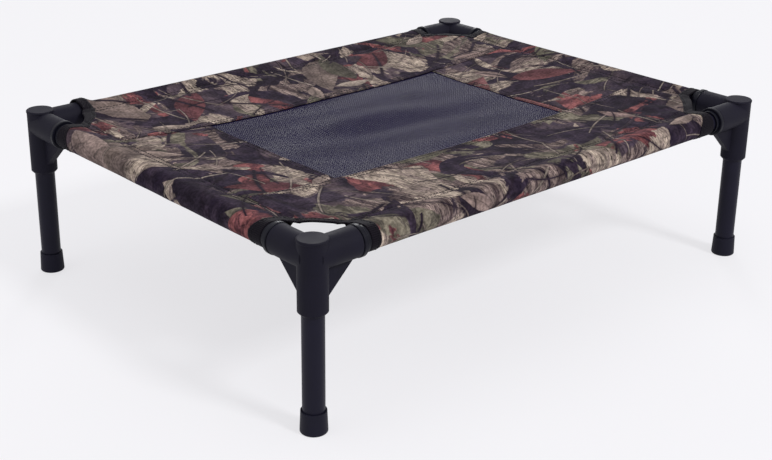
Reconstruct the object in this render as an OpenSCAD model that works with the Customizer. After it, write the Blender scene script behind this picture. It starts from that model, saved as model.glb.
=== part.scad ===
// Raised dog cot: a tube frame on four push-in legs, with a sewn cover stretched over its rails.
// The origin lies on the floor at the middle of the footprint. X runs along the length and Z is up.
// Front is -Y and left is -X. All sizes are millimetres.

/* [Frame] */
// Length between the corner post axes
span_x = 584; // [480:1:1000]
// Width between the corner post axes
span_y = 440; // [360:1:700]
// Height of the corner caps above the floor
cot_h = 178; // [150:1:260]
// Outside diameter of the rail and leg tubes
tube_d = 20; // [16:0.5:22]
// Wall of the rail and leg tubes
tube_wall = 1; // [0.8:0.1:2]
// Radial clearance of a tube or bush in its socket
fit_gap = 0.05; // [0.02:0.01:0.1]
// Clearance between a tube's end and the floor of its socket
end_gap = 0.3; // [0.1:0.1:1]

/* [Corner connectors] */
// Wall of the post round the leg socket
post_wall = 3.3; // [2.9:0.1:5]
// Length of the post
post_h = 67.5; // [60:0.5:75]
// Depth of the leg socket from the bottom of the post
leg_seat = 44; // [30:1:48]
// Depth of the rail axis below the cap
rail_drop = 15.5; // [15:0.5:20]
// Wall of an arm round its bush
arm_wall = 2.5; // [1.5:0.1:3]
// Distance from the post axis to the mouth of an arm
arm_reach = 44; // [38:1:60]
// Web between the leg socket and the floor of an arm's socket
socket_web = 4.5; // [3:0.5:8]
// Overhang of the cap's rim past the post
rim_out = 0.5; // [0.2:0.1:1.5]
// Thickness of the cap's rim
rim_h = 2.2; // [1.5:0.1:4]
// Bevel round the top of the cap
cap_bevel = 0.8; // [0.3:0.1:1.2]
// Height of the taper at the bottom of the post
lip_h = 2.8; // [1:0.1:6]
// Inset of the taper at the bottom of the post
lip_in = 2.6; // [1:0.1:2.6]
// Bevel round the mouth of an arm
mouth_bevel = 0.6; // [0.2:0.1:1]
// Thickness of a gusset
gusset_t = 7; // [4:0.5:12]
// Distance from the post axis to a gusset's outer end
gusset_reach = 40; // [30:0.5:42]
// Drop of a gusset below the arm
gusset_h = 26; // [15:0.5:28]

/* [Rail bushes] */
// Wall of a bush round its rail
bush_wall = 1.5; // [1:0.1:2.5]
// Length of a bush inside the arm
bush_seat = 24; // [12:1:26]
// Width of the flange that stops against the arm
flange_w = 4.5; // [2:0.1:8]
// Overhang of the flange past the arm
flange_out = 0.6; // [0:0.1:1.5]
// Width of the groove behind the flange
groove_w = 0.8; // [0.4:0.1:2]
// Depth of the groove below the shoulder
groove_in = 0.6; // [0.2:0.1:0.8]
// Width of the shoulder in front of the sleeve
shoulder_w = 3.6; // [1:0.1:8]
// Height of the shoulder over the bush
shoulder_out = 0.5; // [0:0.1:1.5]

/* [Feet] */
// Height of a foot
foot_h = 20.5; // [15:0.5:35]
// Wall of a foot at its mouth
foot_wall = 1.5; // [1.5:0.1:4]
// Flare of a foot towards the floor
foot_flare = 0.8; // [0:0.1:3]
// Floor under the leg
foot_floor = 4; // [2.5:0.5:8]
// Rounding of a foot's lower edge
foot_round = 1.6; // [0.5:0.1:2.2]

/* [Cover] */
// Thickness of the cloth
cloth_t = 1; // [0.6:0.1:1.5]
// Clearance between a rail and its sleeve
sleeve_gap = 0.8; // [0.2:0.1:1]
// Distance of the sleeve's hem inside the rail axis
hem_in = 25; // [20:1:40]
// Clearance between the turned hem and the cloth above it
hem_gap = 0.3; // [0.2:0.1:1]
// Clearance between two pieces at a seam
seam_gap = 0.2; // [0.1:0.1:0.5]
// Dip of the cover at its middle
sag = 14; // [2:1:25]
// Power of the dip's curve, higher is flatter in the middle
dip_power = 3; // [2:0.5:5]
// Length of the mesh window
window_l = 314; // [150:1:380]
// Width of the mesh window between the long seams
window_w = 200; // [100:1:240]
// Offset of the window's middle towards the left end
window_offset = 9; // [-20:1:20]
// Clearance between a sleeve's end and its bush
sleeve_clear = 1; // [0.3:0.1:5]
// Depth inside the rail axis at which a sleeve's end turns into the corner cut
cut_depth = 15; // [8:1:19]

/* [Corner bindings] */
// Width of the binding tape
tape_w = 10; // [6:1:20]
// Thickness of the binding tape
tape_t = 1; // [0.5:0.1:1.5]
// Clearance between the tape and the cloth
tape_gap = 0.3; // [0.1:0.1:0.5]

/* [Hidden] */
$fn = 72;

half_x = span_x / 2;
half_y = span_y / 2;
tube_r = tube_d / 2;

post_r = tube_r + post_wall;
post_z = cot_h - post_h;
leg_stop = post_z + leg_seat;
rail_z = cot_h - rail_drop;
bush_r = tube_r + bush_wall;
arm_r = bush_r + arm_wall;
socket_floor = tube_r + socket_web;
rail_end = socket_floor + end_gap;

flange_z = arm_reach + end_gap;
groove_z = flange_z + flange_w;
shoulder_z = groove_z + groove_w;
bush_end = shoulder_z + shoulder_w;

// How far the bores are cut past a face
cut = 1;

// Middle of the cloth round a rail, and its height along the rails
sleeve_r = tube_r + sleeve_gap + cloth_t / 2;
sheet_z = rail_z + sleeve_r;

// Distance from the post axis to a sleeve's end, and the sum of both distances along the corner cut
sleeve_end = bush_end + sleeve_clear;
corner_cut = sleeve_end + cut_depth;

// Grid counts of the cover: cells round a sleeve, along a strip, across an end piece and the window
wrap_n = 12;
strip_n = 8;
end_n = 4;
end_out_n = 2;
window_n = [10, 8];

seam_y = window_w / 2;
window_left = -window_offset - window_l / 2;
window_right = -window_offset + window_l / 2;

plastic = "#2b2a33";
gloss_plastic = "#1f1f26";
steel = "#2a2930";
rubber = "#1b1b1e";
print = "#6f6350";
mesh_grey = "#4a4b55";
tape = "#24262a";

// The four corners in order: place, and the quarter turn that points the arms inwards
CORNERS = [[-1, -1, 0], [1, -1, 90], [1, 1, 180], [-1, 1, 270]];

module at_corner(c) {
    translate([CORNERS[c][0] * half_x, CORNERS[c][1] * half_y, 0])
        rotate(CORNERS[c][2])
            children();
}

// Points a shape that stands on Z along X or Y at the height of the rails
module along_x() {
    translate([0, 0, rail_z])
        rotate([0, 90, 0])
            children();
}

module along_y() {
    translate([0, 0, rail_z])
        rotate([-90, 0, 0])
            children();
}

// Post with a tapered lip below and a bevelled rim at the cap
module post_body() {
    rim_r = post_r + rim_out;
    rotate_extrude()
        polygon([
            [0, post_z],
            [post_r - lip_in, post_z],
            [post_r, post_z + lip_h],
            [post_r, cot_h - rim_h - rim_out],
            [rim_r, cot_h - rim_h],
            [rim_r, cot_h - cap_bevel],
            [rim_r - cap_bevel, cot_h],
            [0, cot_h]
        ]);
}

// Arm that starts in the post and ends at a bevelled mouth
module arm_body() {
    rotate_extrude()
        polygon([
            [0, 0],
            [arm_r, 0],
            [arm_r, arm_reach - mouth_bevel],
            [arm_r - mouth_bevel, arm_reach],
            [0, arm_reach]
        ]);
}

module arm_socket() {
    translate([0, 0, socket_floor])
        cylinder(r = bush_r + fit_gap, h = arm_reach - socket_floor + cut);
}

// Triangular web in the corner between the post and an arm along X
module gusset() {
    arm_z = rail_z - arm_r;
    rotate([90, 0, 0])
        linear_extrude(gusset_t, center = true)
            polygon([
                [0, rail_z],
                [gusset_reach, rail_z],
                [gusset_reach, arm_z],
                [post_r, arm_z - gusset_h],
                [0, arm_z - gusset_h]
            ]);
}

// Moulded corner: a post over the leg and two arms over the rails, stiffened by two gussets
module connector(c) {
    color(plastic)
        at_corner(c)
            difference() {
                union() {
                    post_body();
                    along_x() arm_body();
                    along_y() arm_body();
                    gusset();
                    rotate(90) gusset();
                }
                along_x() arm_socket();
                along_y() arm_socket();
                translate([0, 0, post_z - cut])
                    cylinder(r = tube_r + fit_gap, h = leg_seat + cut);
            }
}

// Tube that stands on Z from one height to another
module tube(from_z, to_z) {
    translate([0, 0, from_z])
        difference() {
            cylinder(r = tube_r, h = to_z - from_z);
            translate([0, 0, -cut])
                cylinder(r = tube_r - tube_wall, h = to_z - from_z + 2 * cut);
        }
}

module leg(c) {
    color(steel)
        at_corner(c)
            tube(foot_floor, leg_stop - end_gap);
}

// Cup that flares a little and has a rounded lower edge
module foot(c) {
    base_r = tube_r + foot_wall + foot_flare;
    color(rubber)
        at_corner(c)
            difference() {
                rotate_extrude()
                    polygon(concat(
                        [[0, 0]],
                        [for (a = [-90:15:0])
                            [base_r - foot_round + foot_round * cos(a), foot_round + foot_round * sin(a)]],
                        [[tube_r + foot_wall, foot_h], [0, foot_h]]
                    ));
                translate([0, 0, foot_floor])
                    cylinder(r = tube_r + fit_gap, h = foot_h);
            }
}

module rail_x(side) {
    color(steel)
        translate([0, side * half_y, 0])
            along_x()
                tube(-half_x + rail_end, half_x - rail_end);
}

module rail_y(side) {
    color(steel)
        translate([side * half_x, 0, 0])
            along_y()
                tube(-half_y + rail_end, half_y - rail_end);
}

// Bush that centres a rail in its arm: a spigot, a flange against the mouth, a groove and a shoulder
module bush_body() {
    flange_r = arm_r + flange_out;
    shoulder_r = bush_r + shoulder_out;
    difference() {
        rotate_extrude()
            polygon([
                [0, arm_reach - bush_seat],
                [bush_r, arm_reach - bush_seat],
                [bush_r, flange_z],
                [flange_r - mouth_bevel, flange_z],
                [flange_r, flange_z + mouth_bevel],
                [flange_r, groove_z - mouth_bevel],
                [flange_r - mouth_bevel, groove_z],
                [shoulder_r - groove_in, groove_z],
                [shoulder_r - groove_in, shoulder_z],
                [shoulder_r, shoulder_z],
                [shoulder_r, bush_end],
                [0, bush_end]
            ]);
        translate([0, 0, arm_reach - bush_seat - cut])
            cylinder(r = tube_r + fit_gap, h = bush_seat + arm_reach);
    }
}

module bush_x(c) {
    color(gloss_plastic)
        at_corner(c)
            along_x()
                bush_body();
}

module bush_y(c) {
    color(gloss_plastic)
        at_corner(c)
            along_y()
                bush_body();
}

// Height of the middle of the cloth: level along the rails and dished towards the middle
function dish(x, y) =
    sheet_z - sag * (1 - pow(abs(x) / half_x, dip_power)) * (1 - pow(abs(y) / half_y, dip_power));

// Distance from the post axis to the cloth's end, at a distance d inside the rail axis
function cloth_end(d) = max(hem_in + seam_gap, min(sleeve_end, corner_cut - d));

// Angle round the rail at which the turned hem leaves it, for a hem at height z
function hem_angle(z) =
    let (rise = z - rail_z, reach = norm([hem_in, rise]))
    360 + atan2(rise, hem_in) - acos(sleeve_r / reach);

// One line of the cloth across a rail, as [along, inwards, height]: the top layer, the wrap round
// the rail and the hem turned back under it. side is 1 for the outer face and -1 for the inner one.
function cloth_line(along, height, depths, side) =
    let (
        off = side * cloth_t / 2,
        hem_u = along(0),
        hem_z = height(hem_u, hem_in) - cloth_t - hem_gap,
        last = hem_angle(hem_z),
        r = sleeve_r + off
    )
    concat(
        [for (d = depths) [along(d), d, height(along(d), d) + off]],
        [for (k = [1:wrap_n])
            let (a = 90 + (last - 90) * k / wrap_n)
            [hem_u, r * cos(a), rail_z + r * sin(a)]],
        [[hem_u, hem_in + off * cos(last), hem_z + off * sin(last)]]
    );

// Closed solid between two grids of points, with a wall round the cells that keep leaves out
module cloth_solid(outer, inner, keep = function (i, j) true) {
    ni = len(outer);
    nj = len(outer[0]);
    function id(i, j, layer) = layer * ni * nj + i * nj + j;
    function here(i, j) = i >= 0 && j >= 0 && i < ni - 1 && j < nj - 1 && keep(i, j);
    // The two halves split their cells along mirrored diagonals
    function quad(a, b, c, d, flip = false) =
        flip ? [[b, c, d], [b, d, a]] : [[a, b, c], [a, c, d]];
    faces = [
        for (i = [0:ni - 2])
            for (j = [0:nj - 2])
                if (here(i, j))
                    let (
                        o = [id(i, j, 0), id(i + 1, j, 0), id(i + 1, j + 1, 0), id(i, j + 1, 0)],
                        n = [for (p = o) p + ni * nj],
                        flip = 2 * i < ni - 1
                    )
                    each concat(
                        quad(o[0], o[3], o[2], o[1], flip),
                        quad(n[0], n[1], n[2], n[3], flip),
                        here(i - 1, j) ? [] : quad(o[3], o[0], n[0], n[3]),
                        here(i + 1, j) ? [] : quad(o[1], o[2], n[2], n[1]),
                        here(i, j - 1) ? [] : quad(o[0], o[1], n[1], n[0]),
                        here(i, j + 1) ? [] : quad(o[2], o[3], n[3], n[2])
                    )
    ];
    polyhedron([for (layer = [outer, inner]) for (row = layer) each row], faces);
}

// Even steps from a to b, both ends included
function steps(a, b, n) = [for (k = [0:n]) a + (b - a) * k / n];

// Depths of the lines on the top layer from the hem out to the rail
SLEEVE_DEPTHS = [hem_in, cut_depth, cut_depth / 2, 0];

// Long strip on the front rail: sleeve, hem and the cloth up to the long seam
module cover_strip() {
    depths = concat(
        steps(half_y - seam_y - seam_gap / 2, corner_cut - hem_in - seam_gap, 3),
        SLEEVE_DEPTHS
    );
    function line(k, side) =
        cloth_line(
            function (d) (half_x - cloth_end(d)) * k / strip_n,
            function (u, d) dish(u, half_y - d),
            depths,
            side
        );
    function grid(side) =
        [for (k = [-strip_n:strip_n])
            [for (p = line(k, side)) [-p[0], p[1] - half_y, p[2]]]];
    cloth_solid(grid(1), grid(-1));
}

// End piece on the left rail: a full sleeve, and a panel between the long seams up to the window
module cover_end(panel_l) {
    panel_n = 4;
    depths = concat(steps(panel_l, hem_in, panel_n), [for (k = [1:3]) SLEEVE_DEPTHS[k]]);
    panel_y = seam_y - seam_gap / 2;
    function across(k, d) =
        abs(k) <= end_n
            ? panel_y * k / end_n
            : sign(k) * (panel_y + (half_y - cloth_end(d) - panel_y) * (abs(k) - end_n) / end_out_n);
    function line(k, side) =
        cloth_line(
            function (d) across(k, min(d, hem_in)),
            function (u, d) dish(half_x - d, u),
            depths,
            side
        );
    last = end_n + end_out_n;
    function grid(side) =
        [for (k = [-last:last])
            [for (p = line(k, side)) [p[1] - half_x, p[0], p[2]]]];
    cloth_solid(
        grid(1),
        grid(-1),
        function (i, j) j >= panel_n || (i >= end_out_n && i < end_out_n + 2 * end_n)
    );
}

// Edge binding of the front left corner: round one sleeve's end, along the cut, round the other
module binding_body() {
    hem_z = dish(half_x - sleeve_end, half_y - hem_in) - cloth_t - hem_gap;
    last = hem_angle(hem_z);
    function wrap(inwards, off) =
        [for (k = [wrap_n:-1:1])
            let (a = 90 + (last - 90) * k / wrap_n, r = sleeve_r + off)
            [sleeve_end + inwards, r * cos(a), rail_z + r * sin(a)]];
    // Plan of the border from the top of one sleeve, along the cut, to the top of the other
    function plan(inwards) =
        let (p = sleeve_end + inwards, q = cut_depth + inwards * (sqrt(2) - 1))
        concat(
            [[p, 0]],
            [for (t = [0:0.25:1]) [p + (q - p) * t, q + (p - q) * t]],
            [[0, p]]
        );
    function flip(points) = [for (k = [len(points) - 1:-1:0]) [points[k][1], points[k][0], points[k][2]]];
    function line(inwards, off) =
        concat(
            wrap(inwards, off),
            [for (p = plan(inwards)) [p[0], p[1], dish(half_x - p[0], half_y - p[1]) + off]],
            flip(wrap(inwards, off))
        );
    function grid(off) =
        let (edge = line(0, off), border = line(tape_w, off))
        [for (i = [0:len(edge) - 1])
            [for (p = [border[i], edge[i]]) [p[0] - half_x, p[1] - half_y, p[2]]]];
    face = cloth_t / 2 + tape_gap;
    cloth_solid(grid(face + tape_t), grid(face));
}

module cover_strip_front() {
    color(print) cover_strip();
}

module cover_strip_rear() {
    color(print) mirror([0, 1, 0]) cover_strip();
}

module cover_end_left() {
    color(print) cover_end(half_x + window_left - seam_gap / 2);
}

module cover_end_right() {
    color(print) mirror([1, 0, 0]) cover_end(half_x - window_right - seam_gap / 2);
}

// Open-weave window between the long seams and the two end pieces
module mesh_window() {
    xs = steps(window_left + seam_gap / 2, window_right - seam_gap / 2, window_n[0]);
    ys = steps(-seam_y + seam_gap / 2, seam_y - seam_gap / 2, window_n[1]);
    function grid(side) = [for (x = xs) [for (y = ys) [x, y, dish(x, y) + side * cloth_t / 2]]];
    color(mesh_grey) cloth_solid(grid(1), grid(-1));
}

module binding(flip_x, flip_y) {
    color(tape) mirror([flip_x, 0, 0]) mirror([0, flip_y, 0]) binding_body();
}

connector(0);  // connector_front_left
connector(1);  // connector_front_right
connector(2);  // connector_rear_right
connector(3);  // connector_rear_left
leg(0);  // leg_front_left
leg(1);  // leg_front_right
leg(2);  // leg_rear_right
leg(3);  // leg_rear_left
foot(0);  // foot_front_left
foot(1);  // foot_front_right
foot(2);  // foot_rear_right
foot(3);  // foot_rear_left
rail_x(-1);  // rail_front
rail_x(1);  // rail_rear
rail_y(-1);  // rail_left
rail_y(1);  // rail_right
bush_x(0);  // bush_front_left
bush_y(1);  // bush_front_right
bush_y(3);  // bush_rear_left
bush_x(2);  // bush_rear_right
bush_y(0);  // bush_left_front
bush_x(3);  // bush_left_rear
bush_x(1);  // bush_right_front
bush_y(2);  // bush_right_rear
cover_strip_front();
cover_strip_rear();
cover_end_left();
cover_end_right();
mesh_window();
binding(0, 0);  // binding_front_left
binding(1, 0);  // binding_front_right
binding(1, 1);  // binding_rear_right
binding(0, 1);  // binding_rear_left
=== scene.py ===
# %% [markdown]
# # A raised dog cot
# The cot is a frame of black steel tube with moulded corners. A sewn cover of printed cloth, with a
# mesh window in its middle, is stretched over the four rails. The hard pieces come from the packed
# model and keep their shape, so they only need finishes. The cloth, the mesh, the edge tape and the
# stitching are made here as real sheets and threads, because a solid block never looks sewn.

import bpy
import numpy as np
from mathutils import Matrix, Vector


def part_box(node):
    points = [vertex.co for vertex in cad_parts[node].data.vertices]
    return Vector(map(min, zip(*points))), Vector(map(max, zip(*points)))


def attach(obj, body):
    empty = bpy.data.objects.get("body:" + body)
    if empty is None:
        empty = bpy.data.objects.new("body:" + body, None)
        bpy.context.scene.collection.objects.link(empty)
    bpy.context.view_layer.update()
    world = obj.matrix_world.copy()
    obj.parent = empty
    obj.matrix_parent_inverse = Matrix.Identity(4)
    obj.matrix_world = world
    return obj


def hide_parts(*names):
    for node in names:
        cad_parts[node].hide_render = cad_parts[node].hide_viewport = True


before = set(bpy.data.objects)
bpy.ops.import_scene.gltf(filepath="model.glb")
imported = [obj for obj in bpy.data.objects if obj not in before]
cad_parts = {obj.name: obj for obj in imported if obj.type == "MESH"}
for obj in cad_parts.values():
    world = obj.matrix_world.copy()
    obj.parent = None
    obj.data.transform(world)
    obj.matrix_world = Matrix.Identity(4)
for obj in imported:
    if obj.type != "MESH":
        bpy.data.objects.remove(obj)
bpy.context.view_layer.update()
MM = 0.001

# %% [markdown]
# ## Camera
# The camera stands where the photograph was taken from. Its place, its three turns and its focal
# length were fitted to the cot's four caps and three feet. A camera in Blender looks along its own
# -Z, so the three axes are worked out with plain trigonometry and written into its matrix. The
# optical axis lies above the picture's middle, and a small lens shift makes up for that. A larger
# shift would set the legs more upright, but it stays on when the camera goes to another side.

# %% Camera
IMAGE_W, IMAGE_H = 772, 460
FOCAL_PX, AXIS_ROW_PX = 1398.9, 200
SENSOR_MM = 36
CAMERA_PLACE = np.array([-942.8, -1025.7, 616.7]) * MM
YAW, PITCH, ROLL = np.radians([47.819, -21.414, 0.702])

ahead = np.array([np.cos(PITCH) * np.cos(YAW), np.cos(PITCH) * np.sin(YAW), np.sin(PITCH)])
level = np.array([np.sin(YAW), -np.cos(YAW), 0])
upright = np.cross(level, ahead)
right = level * np.cos(ROLL) + upright * np.sin(ROLL)
up = upright * np.cos(ROLL) - level * np.sin(ROLL)

camera_data = bpy.data.cameras.new("camera")
camera_data.sensor_width = SENSOR_MM
camera_data.lens = FOCAL_PX * SENSOR_MM / IMAGE_W
camera_data.shift_y = (AXIS_ROW_PX - IMAGE_H / 2) / IMAGE_W
camera = bpy.data.objects.new("camera", camera_data)
pose = np.eye(4)
pose[:3] = np.column_stack([right, up, -ahead, CAMERA_PLACE])
camera.matrix_world = Matrix(pose.tolist())
bpy.context.scene.collection.objects.link(camera)
bpy.context.scene.camera = camera
bpy.context.scene.view_settings.view_transform = "Standard"
print("camera: lens", round(camera_data.lens, 1), "mm, shift", round(camera_data.shift_y, 3))

# %% [markdown]
# ## Helpers for materials
# Colours are written as sRGB hex codes, the way a colour picker shows them. Blender calculates with
# linear light, so one function converts them. Another adds a node: settings are the node's
# properties, and each socket gets a plain value or a link. A socket goes by its name, or by its
# number where a node has several of one name: 6 and 7 are the two colours of a Mix node, and 1 to 4
# are the limits of a Map Range node, from and to. A third function starts an empty material.

# %% Colours and nodes
def linear(code):
    """Linear RGBA of an sRGB hex code: c / 12.92 for dark channels, and ((c + 0.055) / 1.055) ** 2.4
    for the others."""
    channel = np.array([int(code[k:k + 2], 16) for k in (1, 3, 5)]) / 255
    bright = ((channel + 0.055) / 1.055) ** 2.4
    return (*np.where(channel <= 0.04045, channel / 12.92, bright).tolist(), 1.0)


def add(tree, kind, sockets=None, **settings):
    """Adds one shader node. A socket takes a plain value, or a link: from the output that is given, or
    from the first output in use of the node that is given."""
    node = tree.nodes.new("ShaderNode" + kind)
    for name, value in settings.items():
        setattr(node, name, value)
    for name, value in (sockets or {}).items():
        if isinstance(value, bpy.types.Node):
            value = next(output for output in value.outputs if output.enabled)
        if isinstance(value, bpy.types.NodeSocket):
            tree.links.new(value, node.inputs[name])
        else:
            node.inputs[name].default_value = value
    return node


def new_finish(name):
    """A new material and its node tree, with no nodes yet."""
    material = bpy.data.materials.new(name)
    material.use_nodes = True
    material.node_tree.nodes.clear()
    return material, material.node_tree


print("plum in linear light:", np.round(linear("#3a2f38"), 3).tolist())

# %% [markdown]
# ## Floor and world
# The photograph has a pale, nearly even floor with faint soft shadows. More light would make the
# floor white, but it would wash out the cot as well. So the world lights the cot as a plain dome,
# and only the rays that look at the background see near-white there. The floor mixes its own diffuse
# shading with an even pale colour for those rays, which keeps the shadow and lets it stay faint.

# %% Floor and world
FLOOR_SIZE, FLOOR_EVEN = 40.0, 0.72
DOME_LEVEL = 0.5


def seen_ray(tree):
    """1 for a ray that looks at the background from the camera, off a gloss or through glass, and 0 for
    the rest."""
    ray = add(tree, "LightPath").outputs
    seen = add(tree, "Math", {0: ray["Is Camera Ray"], 1: ray["Is Glossy Ray"]}, operation="MAXIMUM")
    return add(tree, "Math", {0: seen, 1: ray["Is Transmission Ray"]}, operation="MAXIMUM")


world = bpy.data.worlds.new("studio")
world.use_nodes = True
bpy.context.scene.world = world
tree = world.node_tree
tree.nodes.clear()
dome = add(tree, "Background", {"Color": linear("#fdfdff"), "Strength": DOME_LEVEL})
backdrop = add(tree, "Background", {"Color": linear("#f4f4f7"), "Strength": 1.0})
both = add(tree, "MixShader", {0: seen_ray(tree), 1: dome, 2: backdrop})
add(tree, "OutputWorld", {"Surface": both})

floor_paint, tree = new_finish("matt_studio_floor_paint")
even = add(tree, "Math", {0: seen_ray(tree), 1: FLOOR_EVEN}, operation="MULTIPLY")
paint = add(tree, "BsdfDiffuse", {"Color": linear("#f0f0f4")})
glow = add(tree, "Emission", {"Color": linear("#f9f8fb"), "Strength": 1.0})
both = add(tree, "MixShader", {0: even, 1: paint, 2: glow})
add(tree, "OutputMaterial", {"Surface": both})

half = FLOOR_SIZE / 2
floor_corners = [(-half, -half, 0), (half, -half, 0), (half, half, 0), (-half, half, 0)]
floor_mesh = bpy.data.meshes.new("floor")
floor_mesh.from_pydata(floor_corners, [], [(0, 1, 2, 3)])
floor_mesh.materials.append(floor_paint)
floor = bpy.data.objects.new("floor", floor_mesh)
bpy.context.scene.collection.objects.link(floor)
print("floor:", FLOOR_SIZE, "m square, dome level", DOME_LEVEL)

# %% [markdown]
# ## Lamps
# A black tube shows little colour of its own and is drawn by its highlights. Point lamps would give
# hard specks. Four large square lamps give long soft highlights and soft shadows: one from the front,
# one overhead, a weak one at the left, and one behind that puts a shine on the mesh and the sleeves.

# %% Lamps
LAMP_TARGET = Vector((0, 0, 0.15))


def softbox(name, place, size, watts):
    """A square area lamp at place, in metres, that faces the middle of the cover."""
    data = bpy.data.lights.new(name, "AREA")
    data.size = size
    data.energy = watts
    lamp = bpy.data.objects.new(name, data)
    lamp.location = place
    lamp.rotation_mode = "QUATERNION"
    lamp.rotation_quaternion = (LAMP_TARGET - Vector(place)).to_track_quat("-Z", "Y")
    bpy.context.scene.collection.objects.link(lamp)
    return lamp


lamps = [
    softbox("key", (0.5, -3.8, 3.65), 0.9, 130),
    softbox("overhead", (-0.3, 0.8, 4.0), 3.2, 24),
    softbox("fill", (-1.9, 0.2, 0.9), 1.2, 4),
    softbox("rim", (3.3, 3.5, 2.1), 1.1, 45),
]
print("lamps:", [(lamp.name, lamp.data.energy) for lamp in lamps])

# %% [markdown]
# ## Hard finishes
# The corners are moulded in black ABS with a fine satin texture, the bushes in a glossier plastic.
# The tubes are powder coated, and the feet are black rubber. None of them is one flat colour: each
# gets a slow change of tone and of gloss, and a fine bump. A real edge is a little round and catches
# a line of light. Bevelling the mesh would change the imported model, so a Bevel node rounds the edges
# in the shading alone. Gloss mirrors the white studio from all sides, so the specular levels are low,
# to keep the blacks black. Object coordinates are in metres, so a pattern of s millimetres has the
# scale 1 / (s * MM).

# %% Moulded, coated and rubber finishes
PATCH_MM = 24
NOISE_LOW, NOISE_HIGH = 0.3, 0.7
GRAIN_STRENGTH = 0.35
EDGE_SAMPLES = 6


def hard_finish(name, tones, gloss, grain_mm, depth_mm, edge_mm, ior, specular):
    """A black finish: a slow noise mixes two tones and two roughness values, a fine noise is the grain of
    the bump, and edges are shaded as if rounded to edge_mm."""
    material, tree = new_finish(name)
    place = add(tree, "TexCoord").outputs["Object"]
    slow = add(tree, "TexNoise", {"Vector": place, "Scale": 1 / (PATCH_MM * MM), "Detail": 3.0})
    tone = add(tree, "Mix", {0: slow, 6: linear(tones[0]), 7: linear(tones[1])}, data_type="RGBA")
    rough = add(tree, "MapRange", {0: slow, 1: NOISE_LOW, 2: NOISE_HIGH, 3: gloss[0], 4: gloss[1]})
    grain = add(tree, "TexNoise", {"Vector": place, "Scale": 1 / (grain_mm * MM), "Detail": 2.0})
    edge = add(tree, "Bevel", {"Radius": edge_mm * MM}, samples=EDGE_SAMPLES)
    bump = add(tree, "Bump", {"Height": grain, "Strength": GRAIN_STRENGTH, "Distance": depth_mm * MM,
                              "Normal": edge})
    shader = add(tree, "BsdfPrincipled", {"Base Color": tone, "Roughness": rough, "Normal": bump,
                                          "IOR": ior, "Specular IOR Level": specular})
    add(tree, "OutputMaterial", {"Surface": shader})
    return material


def coat(prefix, material):
    """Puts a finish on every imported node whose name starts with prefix."""
    nodes = [node for name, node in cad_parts.items() if name.startswith(prefix)]
    for node in nodes:
        node.material_slots[0].material = material
    print(material.name, "on", len(nodes), "nodes")


# The spark-eroded mould leaves a satin skin. Its 0.3 mm grain is drawn at 1.2 mm so that it shows.
satin_abs = hard_finish("moulded_abs_satin_black", ("#12111b", "#1c1a27"), (0.55, 0.66),
                        grain_mm=1.2, depth_mm=0.06, edge_mm=1.0, ior=1.53, specular=0.09)
# A polished mould gives the bushes a tighter, brighter highlight, with faint flow marks 1.6 mm wide.
gloss_pp = hard_finish("moulded_polypropylene_gloss_black", ("#0a0a12", "#13131f"), (0.34, 0.44),
                       grain_mm=1.6, depth_mm=0.03, edge_mm=0.6, ior=1.49, specular=0.13)
# Powder coat flows as it bakes and dries with a faint orange peel about 1.5 mm wide.
powder_coat = hard_finish("powder_coated_steel_black", ("#100f1c", "#1a1829"), (0.38, 0.48),
                          grain_mm=1.5, depth_mm=0.05, edge_mm=0.4, ior=1.5, specular=0.14)
# Moulded rubber is dull and a little dusty, so its grain is deep and its gloss low. The 0.3 mm grain is
# drawn at 1.1 mm so that it shows.
rubber = hard_finish("moulded_rubber_matt_black", ("#12111d", "#1c1b2a"), (0.5, 0.65),
                     grain_mm=1.1, depth_mm=0.1, edge_mm=0.8, ior=1.52, specular=0.12)

coat("connector", satin_abs)
coat("bush", gloss_pp)
coat("rail", powder_coat)
coat("leg", powder_coat)
coat("foot", rubber)

# %% [markdown]
# ## The sizes of the cover
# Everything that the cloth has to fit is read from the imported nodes: the rails that the sleeves wrap,
# the bushes that the sleeves stop at, and the mesh window. Only the cloth's own details, such as its
# thickness and stitch lines, are new values.

# %% Sizes from the frame
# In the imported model: the thickness of its cloth, the room between a bush and its sleeve, the gap at a
# seam, and the depth inside the rail at which the corner cut starts
CAD_CLOTH_T = 1.0 * MM
SLEEVE_CLEAR = 1.0 * MM
SEAM_GAP = 0.2 * MM
CUT_DEPTH = 15 * MM

rail_lo, rail_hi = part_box("rail_front")
rail_z = (rail_lo.z + rail_hi.z) / 2
half_y = -(rail_lo.y + rail_hi.y) / 2
half_x = -sum(corner.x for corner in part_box("rail_left")) / 2
strip_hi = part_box("cover_strip_front")[1]
window_lo, window_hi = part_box("mesh_window")
sheet_z = strip_hi.z - CAD_CLOTH_T / 2
sleeve_r = sheet_z - rail_z
sag = sheet_z - CAD_CLOTH_T / 2 - window_lo.z
seam_y = window_hi.y
hem_in = half_x - strip_hi.x - SEAM_GAP
sleeve_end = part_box("bush_front_left")[1].x + half_x + SLEEVE_CLEAR
corner_cut = sleeve_end + CUT_DEPTH
sizes = dict(rail_z=rail_z, half_x=half_x, half_y=half_y, sleeve_r=sleeve_r, sag=sag, hem_in=hem_in,
             sleeve_end=sleeve_end, seam_y=seam_y)
print("in mm:", {name: round(value / MM, 1) for name, value in sizes.items()})

# %% [markdown]
# ## The shape of the stretched cover
# All pieces of the cover lie on one surface, a height over the floor for each place (x, y). The sheet
# is level along the rails and dips in the middle. On that come the small things that make it cloth: a
# slight puff where a sleeve ends, folds that fan out of the corner cuts, puckers along the hems, a
# valley along each hem, and the dent that a row of stitches pulls. A cloth simulation could give
# these too. Here each is a plain formula, so that pieces which share an edge always meet.

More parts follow.
